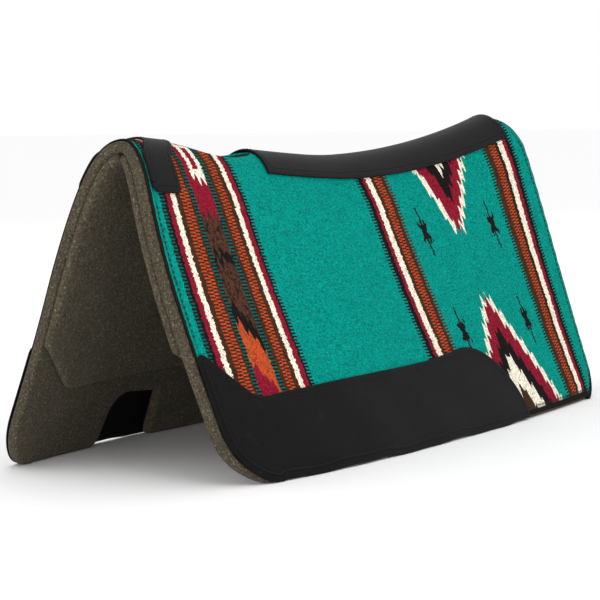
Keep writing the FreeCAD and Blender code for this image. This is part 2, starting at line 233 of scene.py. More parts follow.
def legOutline(inset, notched, start=0.0):
    # from the spine down the front edge, along the foot and back up the rear edge
    frontRadius = padShape["frontFootRadius"] - inset
    rearRadius = padShape["rearFootRadius"] - inset
    front = half - inset
    lowFront = float(floorDrop(front)[0]) - inset
    edge = np.linspace(start, lowFront - frontRadius, 90)
    path = [np.stack([frontEdge(edge) - inset, edge], axis=1)]
    angle = np.linspace(0, math.pi / 2, 40)[1:]
    path.append(np.stack([front - frontRadius + frontRadius * np.cos(angle),
                          lowFront - frontRadius + frontRadius * np.sin(angle)], axis=1))
    lowRear = float(floorDrop(-half + padShape["rearTaper"])[0]) - inset
    rearX = float(rearEdge(lowRear - rearRadius)) + inset + rearRadius

    def foot(first, last):
        x = np.linspace(first, last, 60)
        return np.stack([x, floorDrop(x) - inset], axis=1)

    if notched:
        top = float(acrossLeg(girthNotch["frontX"], girthNotch["drop"]))
        topRear = float(acrossLeg(girthNotch["rearX"], girthNotch["drop"]))
        frontX = girthNotch["frontX"] + inset
        rearX2 = girthNotch["rearX"] - inset
        lowX = rearX2 - girthNotch["flare"]

        def low(x):
            return x, float(acrossLeg(x, float(floorDrop(x)[0]) - inset))

        corners = [
            (*low(frontX + 0.03), 0),
            (*low(frontX), girthNotch["footRadius"]),
            (frontX, top - inset, girthNotch["frontRadius"] + inset),
            (rearX2, topRear - inset, girthNotch["rearRadius"] + inset),
            (*low(lowX), girthNotch["footRadius"]),
            (*low(lowX - 0.03), 0),
        ]
        path.append(foot(front - frontRadius, frontX + 0.03)[1:])
        path.append(onLeg(filleted(corners)))
        path.append(foot(lowX - 0.03, rearX)[1:])
    else:
        path.append(foot(front - frontRadius, rearX)[1:])
    angle = np.linspace(math.pi / 2, math.pi, 30)[1:]
    path.append(np.stack([rearX + rearRadius * np.cos(angle),
                          lowRear - rearRadius + rearRadius * np.sin(angle)], axis=1))
    edge = np.linspace(lowRear - rearRadius, start, 90)[1:]
    path.append(np.stack([rearEdge(edge) + inset, edge], axis=1))
    return np.vstack(path)


def bothSides(path):
    # the whole outline from one leg's, going round once
    return np.vstack([path, np.stack([path[::-1, 0], -path[::-1, 1]], axis=1)[1:-1]])


witherCutOut = {"x": 0.218, "halfLength": 0.065, "halfWidth": 0.017}


def cutOutOutline(grow):
    angle = np.linspace(0, 2 * math.pi, 240, endpoint=False)
    x = witherCutOut["x"] + (witherCutOut["halfLength"] + grow) * np.cos(angle)
    y = (witherCutOut["halfWidth"] + grow) * np.sin(angle)
    drop = solveDrop(lambda down: skin(x, down, 0.0)[..., 1] - np.abs(y), 0.0, 0.1)
    return np.stack([x, np.sign(y) * drop], axis=1)


# Mesh making.

def inside(points, loop):
    x, y = points[:, 0], points[:, 1]
    result = np.zeros(len(points), bool)
    ends = np.roll(loop, -1, axis=0)
    for (x1, y1), (x2, y2) in zip(loop, ends):
        if y1 == y2:
            continue
        crosses = (y1 > y) != (y2 > y)
        result ^= crosses & (x < (x2 - x1) * (y - y1) / (y2 - y1) + x1)
    return result


def gapTo(points, loops):
    # distance from each point to the nearest outline point
    gap = np.full(len(points), 9.0)
    for loop in loops:
        for first in range(0, len(points), 4000):
            part = points[first:first + 4000]
            square = ((part[:, None, :] - loop[None, :, :]) ** 2).sum(axis=2)
            gap[first:first + 4000] = np.minimum(gap[first:first + 4000], np.sqrt(square.min(axis=1)))
    return gap


def turned(loop, anticlockwise):
    ends = np.roll(loop, -1, axis=0)
    area = (loop[:, 0] * ends[:, 1] - ends[:, 0] * loop[:, 1]).sum()
    return loop if (area > 0) == anticlockwise else loop[::-1]


def inwardNormals(loop):
    along = np.roll(loop, -1, axis=0) - np.roll(loop, 1, axis=0)
    along = along / np.linalg.norm(along, axis=1)[:, None]
    return np.stack([-along[:, 1], along[:, 0]], axis=1)


def softened(loop, reach):
    # rounds every corner of a closed outline over about this reach
    loop = resampled(loop, 0.001, True)
    wide = int(reach / 0.001)
    weights = np.exp(-0.5 * (np.arange(-wide, wide + 1) / (wide / 2)) ** 2)
    weights = weights / weights.sum()
    padded = np.vstack([loop[-wide:], loop, loop[:wide]])
    return np.stack([np.convolve(padded[:, k], weights, "valid") for k in (0, 1)], axis=1)


def meshPiece(name, points, faces, places, material):
    mesh = bpy.data.meshes.new(name)
    mesh.from_pydata(points.tolist(), [], faces)
    mesh.polygons.foreach_set("use_smooth", np.ones(len(mesh.polygons), bool))
    for label, values in (("skinPlace", places), ("restPlace", points)):
        made = mesh.attributes.new(label, "FLOAT_VECTOR", "POINT")
        made.data.foreach_set("vector", np.asarray(values, float).ravel())
    mesh.materials.append(material)
    mesh.update()
    piece = bpy.data.objects.new(name, mesh)
    bpy.context.scene.collection.objects.link(piece)
    return piece


def slab(name, outline, holes, look, material, spacing=0.0045, shapeLift=None, extraRings=(0.003,)):
    # a layer of the pad between two lifts, with rounded edges
    low, high, edgeRound = look["low"], look["high"], look["round"]
    loops = [turned(resampled(outline, 0.0028, True), True)]
    loops += [turned(resampled(hole, 0.0022, True), False) for hole in holes]
    quarter = np.radians([0, 25, 50, 72, 90])
    thick = high - low
    topRound = min(edgeRound, thick * 0.48)
    profile = [(edgeRound + extra, high) for extra in sorted(extraRings, reverse=True)]
    profile += [(edgeRound * (1 - math.sin(a)), high - topRound * (1 - math.cos(a))) for a in quarter]
    profile += [(edgeRound * (1 - math.sin(a)), low + topRound * (1 - math.cos(a))) for a in quarter[::-1]]
    profile += [(edgeRound + extra, low) for extra in sorted(extraRings)]
    flats, lifts, gaps, faces = [], [], [], []
    total = 0
    innerStart = []
    for loop in loops:
        normals = inwardNormals(loop)
        count = len(loop)
        for ring, (inset, lift) in enumerate(profile):
            flats.append(loop + normals * inset)
            lifts.append(np.full(count, lift))
            gaps.append(np.full(count, inset if loop is loops[0] else inset + 0.03))
            if ring:
                one = total + (ring - 1) * count
                two = total + ring * count
                index = np.arange(count)
                after = (index + 1) % count
                quads = np.stack([one + index, two + index, two + after, one + after], axis=1)
                faces += quads.tolist()
        innerStart.append((total, total + (len(profile) - 1) * count, count))
        total += count * len(profile)
    inset = profile[0][0]
    bounds = [loop + inwardNormals(loop) * inset for loop in loops]
    lowCorner = bounds[0].min(axis=0)
    highCorner = bounds[0].max(axis=0)
    xs = np.arange(lowCorner[0], highCorner[0], spacing)
    drops = [0.0]
    while drops[-1] < 0.42:
        drops.append(drops[-1] + (0.0022 if drops[-1] < 0.05 else spacing))
    drops = np.array([-d for d in drops[:0:-1]] + drops)
    drops = drops[(drops > lowCorner[1]) & (drops < highCorner[1])]
    grid = np.stack(np.meshgrid(xs, drops, indexing="ij"), axis=-1)
    grid[:, ::2, 0] += spacing / 2
    grid = grid.reshape(-1, 2)
    keep = inside(grid, bounds[0])
    for hole in bounds[1:]:
        keep &= ~inside(grid, hole)
    grid = grid[keep]
    grid = grid[gapTo(grid, bounds) > spacing * 0.45]
    corners = np.vstack(bounds + [grid])
    edges = []
    first = 0
    for bound in bounds:
        count = len(bound)
        edges += [(first + k, first + (k + 1) % count) for k in range(count)]
        first += count
    scaled = [Vector((float(a) * 10, float(b) * 10)) for a, b in corners]
    found = delaunay_2d_cdt(scaled, edges, [], 0, 1e-6, True)
    foundAt = np.array([tuple(v) for v in found[0]]) / 10
    triangles = np.array(found[2])
    centres = foundAt[triangles].mean(axis=1)
    keep = inside(centres, bounds[0])
    for hole in bounds[1:]:
        keep &= ~inside(centres, hole)
    triangles = triangles[keep]
    source = np.array([ids[0] if ids else int(np.argmin(((corners - foundAt[k]) ** 2).sum(axis=1)))
                       for k, ids in enumerate(found[3])])
    sides = foundAt[triangles] - foundAt[np.roll(triangles, -1, axis=1)]
    longest = np.linalg.norm(sides, axis=2).max(axis=1)
    shortest = np.linalg.norm(sides, axis=2).min(axis=1)
    triangles = triangles[(longest < 0.03) & (shortest > 1e-7)]
    gridGaps = gapTo(grid, loops[:1])
    topIndex = np.zeros(len(corners), int)
    lowIndex = np.zeros(len(corners), int)
    first = 0
    for (topStart, lowStart, count) in innerStart:
        topIndex[first:first + count] = topStart + np.arange(count)
        lowIndex[first:first + count] = lowStart + np.arange(count)
        first += count
    for index, lift in ((topIndex, high), (lowIndex, low)):
        index[first:] = total + np.arange(len(grid))
        flats.append(grid)
        lifts.append(np.full(len(grid), lift))
        gaps.append(gridGaps)
        total += len(grid)
    first, second, third = np.moveaxis(foundAt[triangles], 1, 0)
    one, two = second - first, third - first
    area = one[:, 0] * two[:, 1] - one[:, 1] * two[:, 0]
    triangles[area < 0] = triangles[area < 0][:, ::-1]
    faces += topIndex[source[triangles]].tolist()
    faces += lowIndex[source[triangles]][:, ::-1].tolist()
    flat = np.vstack(flats)
    lift = np.concatenate(lifts)
    gap = np.concatenate(gaps)
    x, drop = flat[:, 0], flat[:, 1]
    drop = levelled(x, drop, lift)
    raised = lift + waviness(x, drop)
    if shapeLift is not None:
        raised = shapeLift(x, drop, raised, gap)
    points = skin(x, drop, raised)
    points[:, 2] = np.maximum(points[:, 2], 0.0)
    places = np.stack([x, drop, gap], axis=1)
    piece = meshPiece(name, points, faces, places, material)
    print("made", name, len(points), "points")
    return piece


def tubeFaces(first, rings, corners):
    # the sides of a thread between its rings, and a cap at each end
    faces = []
    for ring in range(rings - 1):
        for corner in range(corners):
            one = first + ring * corners + corner
            two = first + ring * corners + (corner + 1) % corners
            faces.append((one, two, two + corners, one + corners))
    last = first + (rings - 1) * corners
    faces.append(tuple(first + corner for corner in range(corners - 1, -1, -1)))
    faces.append(tuple(last + corner for corner in range(corners)))
    return faces


def stitchRow(name, runs, level, look, material, settle=None):
    # each stitch is a short thread whose two ends dive into the leather or wool
    points, faces, places = [], [], []
    shares = np.array([0.0, 0.16, 0.5, 0.84, 1.0])
    sizes = np.array([0.45, 0.95, 1.0, 0.95, 0.45]) * look["radius"]
    sinks = np.array([-1.5, -0.3, 0.0, -0.3, -1.5]) * look["radius"]
    around = np.arange(6) / 6 * 2 * math.pi
    total = 0
    for run in runs:
        run = resampled(run, look["pitch"])
        ends = run[:-1] + (run[1:] - run[:-1]) * look["fill"]
        lift = level - (settle(run[:-1, 0], run[:-1, 1]) if settle else 0)
        start = skin(run[:-1, 0], run[:-1, 1], lift + waviness(run[:-1, 0], run[:-1, 1]))
        stop = skin(ends[:, 0], ends[:, 1], lift + waviness(ends[:, 0], ends[:, 1]))
        up = skin(run[:-1, 0], run[:-1, 1], lift + 0.01) - skin(run[:-1, 0], run[:-1, 1], lift)
        up = up / np.linalg.norm(up, axis=1)[:, None] * (1 if level > 0 else -1)
        along = stop - start
        along = along / np.linalg.norm(along, axis=1)[:, None]
        side = np.cross(along, up)
        for k in range(len(start)):
            for share, size, sink in zip(shares, sizes, sinks):
                centre = start[k] + (stop[k] - start[k]) * share + up[k] * sink
                ring = centre + size * (np.cos(around)[:, None] * side[k] + np.sin(around)[:, None] * up[k])
                points.append(ring)
            places.append(np.tile([run[k, 0], run[k, 1], 0.0], (30, 1)))
            faces += tubeFaces(total, len(shares), 6)
            total += 30
    piece = meshPiece(name, np.vstack(points), faces, np.vstack(places), material)
    print("sewed", name, total // 30, "stitches")
    return piece


# Node helpers.

def linear(red, green, blue):
    def one(value):
        value = value / 255
        return value / 12.92 if value <= 0.04045 else ((value + 0.055) / 1.055) ** 2.4
    return (one(red), one(green), one(blue), 1.0)


def feed(tree, socket, value):
    if isinstance(value, bpy.types.NodeSocket):
        tree.links.new(value, socket)
    else:
        socket.default_value = value


def feedAll(tree, node, inputs):
    # i0, i1 and so on go by number, the rest by name
    for key, value in inputs.items():
        byNumber = key[0] == "i" and key[1:].isdigit()
        feed(tree, node.inputs[int(key[1:]) if byNumber else key.replace("_", " ")], value)


def put(tree, kind, settings=None, **inputs):
    node = tree.nodes.new(kind)
    for key, value in (settings or {}).items():
        setattr(node, key, value)
    feedAll(tree, node, inputs)
    return node


def calc(tree, what, a, b=0.0, c=0.0):
    return put(tree, "ShaderNodeMath", {"operation": what}, i0=a, i1=b, i2=c).outputs[0]


def swing(tree, value, strength, base):
    # a value from 0 to 1, centred on nought, made stronger and added to the base
    return calc(tree, "MULTIPLY_ADD", calc(tree, "SUBTRACT", value, 0.5), strength, base)


def noise(tree, place, scale, detail, roughness=0.5, distortion=0.0):
    return put(tree, "ShaderNodeTexNoise", None, Vector=place, Scale=scale, Detail=detail,
               Roughness=roughness, Distortion=distortion).outputs[0]


def grey(tree, value):
    return put(tree, "ShaderNodeCombineColor", None, i0=value, i1=value, i2=value).outputs[0]


def smoothMask(tree, value, low, high):
    smooth = {"interpolation_type": "SMOOTHSTEP"}
    return put(tree, "ShaderNodeMapRange", smooth, i0=value, i1=low, i2=high, i3=0.0, i4=1.0).outputs[0]


def blendColour(tree, share, one, two, how="MIX"):
    node = tree.nodes.new("ShaderNodeMix")
    node.data_type = "RGBA"
    node.blend_type = how
    feedAll(tree, node, {"i0": share, "i6": one, "i7": two})
    return node.outputs[2]


def steps(tree, value, stops):
    # a ramp of plain bars, stops are (place from 0 to 1, colour)
    ramp = put(tree, "ShaderNodeValToRGB", None, i0=value)
    ramp.color_ramp.interpolation = "CONSTANT"
    bars = ramp.color_ramp.elements
    bars[0].position = 0.0
    bars[0].color = stops[0][1]
    bars[1].position = stops[1][0]
    bars[1].color = stops[1][1]
    for place, colour in stops[2:]:
        bars.new(place).color = colour
    return ramp.outputs[0]


def placeOf(tree, label):
    return put(tree, "ShaderNodeAttribute", {"attribute_name": label}).outputs["Vector"]


def newGroup(name, inputs, outputs):
    group = bpy.data.node_groups.new(name, "ShaderNodeTree")
    for label, kind, value in inputs:
        socket = group.interface.new_socket(label, in_out="INPUT", socket_type=kind)
        if value is not None:
            socket.default_value = value
    for label, kind in outputs:
        group.interface.new_socket(label, in_out="OUTPUT", socket_type=kind)
    return group, group.nodes.new("NodeGroupInput").outputs, group.nodes.new("NodeGroupOutput").inputs


def use(tree, group, **inputs):
    node = tree.nodes.new("ShaderNodeGroup")
    node.node_tree = group
    feedAll(tree, node, inputs)
    return node.outputs


def newMaterial(name, **shader):
    material = bpy.data.materials.new(name)
    material.use_nodes = True
    tree = material.node_tree
    principled = tree.nodes["Principled BSDF"]
    for key, value in shader.items():
        principled.inputs[key.replace("_", " ")].default_value = value
    return material, tree, principled


def bumpInto(tree, principled, height, distance, strength=1.0):
    bump = put(tree, "ShaderNodeBump", None, Height=height, Distance=distance, Strength=strength)
    tree.links.new(bump.outputs[0], principled.inputs["Normal"])


# Shared effects.

def makeYarnWeave():
    group, given, result = newGroup("yarnWeave", [
        ("Place", "NodeSocketVector", None),
        ("Pitch", "NodeSocketFloat", 0.0022),
        ("Fuzz", "NodeSocketFloat", 0.5),
    ], [("Tone", "NodeSocketFloat"), ("Height", "NodeSocketFloat")])
    split = put(group, "ShaderNodeSeparateXYZ", None, i0=given["Place"])
    rows = calc(group, "DIVIDE", split.outputs[1], given["Pitch"])
    rowIndex = calc(group, "FLOOR", rows)
    columns = calc(group, "DIVIDE", split.outputs[0], given["Pitch"])
    shifted = calc(group, "MULTIPLY_ADD", rowIndex, 0.5, columns)
    ribs = calc(group, "SINE", calc(group, "MULTIPLY", rows, 2 * math.pi))
    knots = calc(group, "SINE", calc(group, "MULTIPLY", shifted, 2 * math.pi))
    cell = put(group, "ShaderNodeCombineXYZ", None, i0=calc(group, "FLOOR", shifted), i1=rowIndex)
    speckle = put(group, "ShaderNodeTexWhiteNoise", {"noise_dimensions": "2D"}, i0=cell.outputs[0])
    tuft = speckle.outputs["Value"]
    fine = noise(group, given["Place"], 430.0, 3.0, 0.75)
    wide = noise(group, given["Place"], 45.0, 2.0)
    fleck = calc(group, "MULTIPLY", calc(group, "SUBTRACT", fine, 0.5), 4.2)
    fleck = swing(group, tuft, 0.4, fleck)
    tone = calc(group, "MULTIPLY_ADD", fleck, given["Fuzz"], 1.0)
    tone = swing(group, wide, 0.22, tone)
    group.links.new(tone, result["Tone"])
    woven = calc(group, "MULTIPLY_ADD", ribs, 0.25, calc(group, "MULTIPLY", knots, 0.2))
    height = calc(group, "MULTIPLY_ADD", fine, 0.9, calc(group, "MULTIPLY_ADD", tuft, 0.35, woven))
    group.links.new(height, result["Height"])
    return group


def makeWoolFelt():
    group, given, result = newGroup("woolFelt", [
        ("Place", "NodeSocketVector", None),
        ("Scale", "NodeSocketFloat", 1.0),
        ("Flecks", "NodeSocketFloat", 0.5),
    ], [("Tone", "NodeSocketFloat"), ("Fleck", "NodeSocketFloat"), ("Height", "NodeSocketFloat")])
    place = put(group, "ShaderNodeVectorMath", {"operation": "SCALE"}, i0=given["Place"])
    group.links.new(given["Scale"], place.inputs["Scale"])
    fine = noise(group, place.outputs[0], 480.0, 4.0, 0.8)
    tufts = noise(group, place.outputs[0], 260.0, 3.0, 0.6, 1.5)
    wide = noise(group, place.outputs[0], 24.0, 3.0)
    tone = swing(group, tufts, 1.3, 1.0)
    tone = swing(group, wide, 0.5, tone)
    tone = swing(group, fine, 3.4, tone)
    group.links.new(calc(group, "MAXIMUM", tone, 0.15), result["Tone"])
    fleck = calc(group, "MULTIPLY", smoothMask(group, fine, 0.55, 0.68), given["Flecks"])
    group.links.new(fleck, result["Fleck"])
    group.links.new(calc(group, "MULTIPLY_ADD", tufts, 0.8, calc(group, "MULTIPLY", fine, 0.5)),
                    result["Height"])
    return group


def makeLeatherGrain():
    group, given, result = newGroup("leatherGrain", [
        ("Place", "NodeSocketVector", None),
        ("Scale", "NodeSocketFloat", 1.0),
        ("Scuffs", "NodeSocketFloat", 0.5),
    ], [("Tone", "NodeSocketFloat"), ("Scuff", "NodeSocketFloat"), ("Height", "NodeSocketFloat")])
    place = put(group, "ShaderNodeVectorMath", {"operation": "SCALE"}, i0=given["Place"])
    group.links.new(given["Scale"], place.inputs["Scale"])
    pores = put(group, "ShaderNodeTexVoronoi", {"feature": "DISTANCE_TO_EDGE"},
                Vector=place.outputs[0], Scale=620.0)
    grain = smoothMask(group, pores.outputs["Distance"], 0.0, 0.22)
    creases = noise(group, place.outputs[0], 38.0, 6.0, 0.65, 0.8)
    wide = noise(group, place.outputs[0], 11.0, 3.0)
    fine = noise(group, place.outputs[0], 420.0, 3.0)
    tone = swing(group, wide, 0.55, 1.0)
    tone = swing(group, creases, 0.4, tone)
    tone = swing(group, fine, 0.3, tone)
    group.links.new(tone, result["Tone"])
    scuff = calc(group, "MULTIPLY", smoothMask(group, creases, 0.58, 0.75), given["Scuffs"])
    group.links.new(scuff, result["Scuff"])
    height = calc(group, "MULTIPLY_ADD", grain, 0.35, calc(group, "MULTIPLY", creases, 0.5))
    group.links.new(calc(group, "MULTIPLY_ADD", fine, 0.15, height), result["Height"])
    return group


def makeSeamGroove():
    # the pressed-in line that a row of stitches draws along an edge: Line marks the groove, for bumps and for
    # painted shade in it, and Rim marks a band of painted shade along the very edge
    group, given, result = newGroup("seamGroove", [
        ("Gap", "NodeSocketFloat", 0.01),
        ("Inset", "NodeSocketFloat", 0.006),
        ("Width", "NodeSocketFloat", 0.0015),
    ], [("Line", "NodeSocketFloat"), ("RimShade", "NodeSocketFloat")])
    off = calc(group, "ABSOLUTE", calc(group, "SUBTRACT", given["Gap"], given["Inset"]))
    share = calc(group, "DIVIDE", off, given["Width"])
    line = calc(group, "SUBTRACT", 1.0, smoothMask(group, share, 0.0, 1.0))
    group.links.new(line, result["Line"])
    fromEdge = calc(group, "DIVIDE", given["Gap"], given["Width"])
    rim = calc(group, "SUBTRACT", 1.0, smoothMask(group, fromEdge, 0.2, 1.5))
    group.links.new(rim, result["RimShade"])
    return group


yarnWeave = makeYarnWeave()
woolFelt = makeWoolFelt()
leatherGrain = makeLeatherGrain()
seamGroove = makeSeamGroove()

# Blanket pattern.

wool = {
    "teal": linear(0, 138, 126),
    "tealDark": linear(12, 92, 84),
    "black": linear(26, 22, 22),
    "crimson": linear(134, 24, 44),
    "cream": linear(238, 230, 210),
    "brown": linear(66, 42, 28),
    "orange": linear(180, 74, 38),
    "rust": linear(74, 34, 26),
    "mottled": linear(78, 50, 38),
}

# Bars of each band, from front to rear: where the bar ends (mm), its wool, the wool of every other pick
frontBand = [
    (381.5, "teal", "teal"), (374.5, "tealDark", "black"), (370.5, "black", "black"),
    (363, "crimson", "crimson"), (355, "cream", "cream"), (346.5, "brown", "brown"),
    (339, "orange", "rust"), (331.5, "rust", "orange"), (328, "brown", "brown"),
    (321.5, "tealDark", "black"), (290.5, "mottled", "mottled"), (283, "tealDark", "black"),
    (278, "brown", "brown"), (271.7, "rust", "orange"), (265.5, "orange", "rust"),
    (258, "brown", "brown"), (250, "cream", "cream"), (241.5, "crimson", "crimson"),
    (238, "black", "black"), (232, "teal", "black"),
]
middleBand = [
    (2, "teal", "teal"), (-5, "teal", "black"), (-13, "black", "black"), (-20, "crimson", "crimson"),
    (-31, "cream", "cream"), (-38, "brown", "brown"), (-45, "orange", "rust"), (-52, "rust", "orange"),
    (-59, "rust", "brown"), (-66, "teal", "rust"),
]
rearBand = [
    (-288, "teal", "teal"), (-295, "teal", "black"), (-306, "brown", "brown"), (-313.5, "orange", "rust"),
    (-321, "rust", "orange"), (-328, "brown", "black"), (-339.5, "cream", "cream"),
    (-347.5, "crimson", "crimson"),
    (-355, "black", "black"), (-361, "teal", "black"),
]
shadedColumn = [
    (5, "crimson"), (52, "cream"), (92, "crimson"), (132, "mottled"), (143, "black"), (180, "mottled"),
    (200, "black"), (246, "orange"), (292, "crimson"), (400, "orange"),
]


def bandColour(tree, place, bars, picks):
    # place is in millimetres along the pad; picks is 0 or 1 on alternate rows of weft
    front = bars[0][0] + 10.0
    rear = bars[-1][0] - 10.0
    share = put(tree, "ShaderNodeMapRange", None, i0=place, i1=front, i2=rear, i3=0.0, i4=1.0).outputs[0]
    ramps = []
    for choice in (1, 2):
        stops = [(0.0, wool[bars[0][choice]])]
        for before, bar in zip(bars, bars[1:]):
            stops.append(((front - before[0]) / (front - rear), wool[bar[choice]]))
        stops.append(((front - bars[-1][0]) / (front - rear), wool["teal"]))
        ramps.append(steps(tree, share, stops))
    return blendColour(tree, picks, ramps[0], ramps[1])


def makeBlanketPattern():
    group, given, result = newGroup("blanketPattern", [("Place", "NodeSocketVector", None)],
                                    [("Colour", "NodeSocketColor")])

    def op(what, *values):
        return calc(group, what, *values)

    def whiteNoise(value):
        return put(group, "ShaderNodeTexWhiteNoise", {"noise_dimensions": "1D"}, W=value).outputs["Value"]

    split = put(group, "ShaderNodeSeparateXYZ", None, i0=given["Place"])
    along = op("MULTIPLY", split.outputs[0], 1000.0)
    down = op("MULTIPLY", op("ABSOLUTE", split.outputs[1]), 1000.0)
    # each pick of weft starts a little before or after the last, so no edge is a clean line
    row = op("FLOOR", op("DIVIDE", down, 2.2))
    jitter = whiteNoise(row)
    column = op("FLOOR", op("DIVIDE", along, 2.0))
    stray = whiteNoise(column)
    fuzz = noise(group, given["Place"], 520.0, 2.0)
    sway = put(group, "ShaderNodeTexNoise", {"noise_dimensions": "1D"}, W=op("MULTIPLY", down, 0.02),
               Scale=1.0, Detail=1.0).outputs[0]
    # the bands lean forward on the way down, more so towards the rear
    lean = op("MULTIPLY_ADD", op("SUBTRACT", 312.0, along), 0.000076, 0.045)
    below = op("SUBTRACT", down, 150.0)
    bend = op("MULTIPLY", op("MULTIPLY", below, below), 0.0002)
    place = op("ADD", op("SUBTRACT", along, op("MULTIPLY", lean, below)), bend)
    place = swing(group, sway, 5.0, place)
    serrated = swing(group, jitter, 2.2, place)
    serrated = swing(group, fuzz, 4.0, serrated)
    picks = op("GREATER_THAN", op("FRACT", op("DIVIDE", down, 3.7)), 0.5)
    front = bandColour(group, serrated, frontBand, picks)
    middle = bandColour(group, serrated, middleBand, picks)
    rear = bandColour(group, serrated, rearBand, picks)
    colour = blendColour(group, op("LESS_THAN", place, 120.0), front, middle)
    colour = blendColour(group, op("LESS_THAN", place, -180.0), colour, rear)

    def paint(base, mask, name):
        return blendColour(group, mask, base, wool[name])

    def both(a, b):
        return op("MULTIPLY", a, b)

    def between(value, low, high):
        return both(op("GREATER_THAN", value, low), op("LESS_THAN", value, high))

    # the shaded column in the middle of the front band
    columnSpikes = op("PINGPONG", op("ADD", place, 400.0), 4.5)
    spiked = op("MULTIPLY_ADD", columnSpikes, 2.2, down)
    spiked = swing(group, stray, 7.0, spiked)
    lower = smoothMask(group, down, 150.0, 190.0)
    slant = op("MULTIPLY", op("SUBTRACT", 321.5, place), 1.2)
    slanted = op("SUBTRACT", spiked, both(lower, slant))
    stops = [(0.0, wool[shadedColumn[0][1]])]
    for before, bar in zip(shadedColumn, shadedColumn[1:]):
        stops.append(((before[0] + 5) / 400, wool[bar[1]]))
    shaded = steps(group, op("DIVIDE", slanted, 400.0), stops)
    mottle = noise(group, given["Place"], 170.0, 3.0)
    dim = both(between(slanted, 97.0, 205.0), smoothMask(group, mottle, 0.50, 0.62))
    shaded = blendColour(group, both(dim, 0.8), shaded, wool["black"])
    slit = both(between(serrated, 297.0, 306.0), between(down, 14.0, 42.0))
    shaded = paint(shaded, slit, "crimson")
    frontTop = both(op("GREATER_THAN", serrated, 313.0), op("LESS_THAN", down, 60.0))
    shaded = paint(shaded, frontTop, "crimson")
    colour = blendColour(group, between(serrated, 290.5, 321.5), colour, shaded)

    # stepped diamonds between the two rear bands, drawn with tall narrow teeth
    teeth = op("PINGPONG", op("ADD", along, 400.0), 5.5)
    toothed = op("MULTIPLY_ADD", op("SUBTRACT", teeth, 2.75), 2.4, down)
    toothed = swing(group, stray, 5.0, toothed)

    def diamond(base, depth, frontAt, frontSlope, rearAt, rearSlope, mask):
        frontLine = op("MULTIPLY_ADD", depth, frontSlope, frontAt)
        rearLine = op("MULTIPLY_ADD", depth, rearSlope, rearAt)
        within = op("MINIMUM", op("SUBTRACT", frontLine, along), op("SUBTRACT", along, rearLine))
        for name, start in (("cream", 0.0), ("crimson", 9.5), ("black", 31.0),
                            ("cream", 51.0), ("brown", 74.0)):
            base = paint(base, both(op("GREATER_THAN", within, start), mask), name)
        return base

    upper = op("LESS_THAN", toothed, 121.0)
    colour = diamond(colour, op("SUBTRACT", toothed, 51.0), -140.7, -0.37, -246.5, 0.79, upper)
    lower = op("GREATER_THAN", toothed, 207.0)
    colour = diamond(colour, op("SUBTRACT", toothed, 205.0), -163.5, 0.66, -182.0, -0.548, lower)

    # four small crosses, each a stem with a forked body
    for x, y in ((-103.0, 114.0), (-258.5, 129.0), (-92.0, 236.0), (-250.5, 247.0)):
        ragged = op("SUBTRACT", serrated, place)
        offX = op("ABSOLUTE", op("ADD", ragged, op("SUBTRACT", along, x)))
        offY = op("ABSOLUTE", op("SUBTRACT", down, y))
        stem = both(op("LESS_THAN", offX, 1.5), op("LESS_THAN", offY, 30.0))
        reach = op("MULTIPLY_ADD", offY, 0.55, 4.6)
        tips = op("LESS_THAN", op("MULTIPLY_ADD", stray, 7.0, offY), 15.0)
        body = both(op("LESS_THAN", offX, reach), tips)
        colour = paint(colour, op("MAXIMUM", stem, body), "black")
    group.links.new(colour, result["Colour"])
    return group


blanketPattern = makeBlanketPattern()

# Materials.

def makeBlanketMaterial():
    material, tree, principled = newMaterial("wovenWool", Roughness=0.95, Specular_IOR_Level=0.04)
    place = placeOf(tree, "skinPlace")
    pattern = use(tree, blanketPattern, Place=place)["Colour"]
    weave = use(tree, yarnWeave, Place=place, Pitch=0.0022, Fuzz=0.75)
    tone = grey(tree, weave["Tone"])
    colour = blendColour(tree, 1.0, pattern, tone, "MULTIPLY")
    gap = put(tree, "ShaderNodeSeparateXYZ", None, i0=place).outputs[2]
    seam = use(tree, seamGroove, Gap=gap, Inset=0.0075, Width=0.0028)
    # painted shade: the colour in the stitched groove is darkened towards deep teal
    colour = blendColour(tree, calc(tree, "MULTIPLY", seam["Line"], 0.4), colour, linear(18, 60, 54))
    # painted shade: the colour turns near black along the blanket's edge, over a wider band along the foot
    drop = calc(tree, "ABSOLUTE", put(tree, "ShaderNodeSeparateXYZ", None, i0=place).outputs[1])
    width = calc(tree, "MULTIPLY_ADD", smoothMask(tree, drop, 0.325, 0.360), 0.0045, 0.0032)
    paintedEdgeShade = calc(tree, "SUBTRACT", 1.0, smoothMask(tree, calc(tree, "DIVIDE", gap, width), 0.8, 1.1))
    colour = blendColour(tree, paintedEdgeShade, colour, linear(30, 27, 24))
    tree.links.new(colour, principled.inputs["Base Color"])
    height = calc(tree, "SUBTRACT", weave["Height"], calc(tree, "MULTIPLY", seam["Line"], 2.2))
    bumpInto(tree, principled, height, 0.0007, 0.8)
    return material


def makeFeltMaterial(name, dark, light, scale, flecks):
    material, tree, principled = newMaterial(name, Roughness=0.97, Sheen_Weight=0.05, Sheen_Roughness=0.6,
                                             Specular_IOR_Level=0.06)
    place = placeOf(tree, "restPlace")
    felt = use(tree, woolFelt, Place=place, Scale=scale, Flecks=flecks)
    tone = grey(tree, felt["Tone"])
    colour = blendColour(tree, 1.0, linear(*dark), tone, "MULTIPLY")
    colour = blendColour(tree, felt["Fleck"], colour, linear(*light))
    tree.links.new(colour, principled.inputs["Base Color"])
    bumpInto(tree, principled, felt["Height"], 0.0009, 0.9)
    return material


